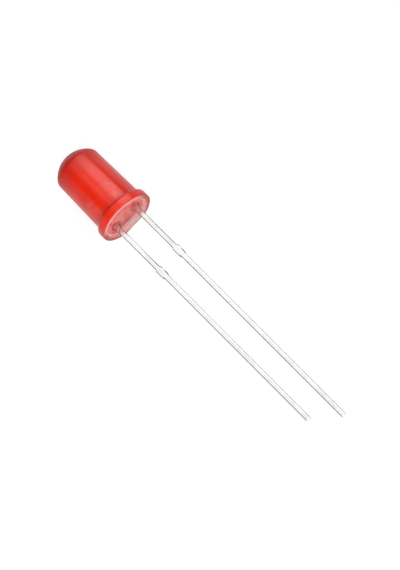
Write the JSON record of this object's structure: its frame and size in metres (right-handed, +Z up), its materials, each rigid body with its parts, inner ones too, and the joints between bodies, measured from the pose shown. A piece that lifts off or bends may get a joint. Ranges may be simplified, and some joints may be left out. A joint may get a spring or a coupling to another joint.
{
  "type": "through-hole led",
  "caption": "Round red diffused LED: a domed and flanged epoxy lens cast around a lead frame with a reflector cup, and square tinned leads with stand-offs.",
  "frame": {"origin": "on the surface it lies on, under the middle of its length", "axes": "+X along the leads towards their tips, dome towards -X; +Y towards the anode lead; +Z up as it lies on the flat of its flange"},
  "size_m": [0.0372, 0.0056, 0.0054],
  "materials": {
    "red_epoxy": "glossy, milky translucent",
    "tinned_lead": "bright tin over steel",
    "silver_epoxy": "matte, grainy",
    "chip": "polished crystal",
    "gold_wire": "bright drawn gold"
  },
  "bodies": {
    "root": {"lens": "red_epoxy", "cathode_lead": "tinned_lead", "anode_lead": "tinned_lead", "die_attach": "silver_epoxy", "led_chip": "chip", "bond_wire": "gold_wire"}
  },
  "joints": []
}
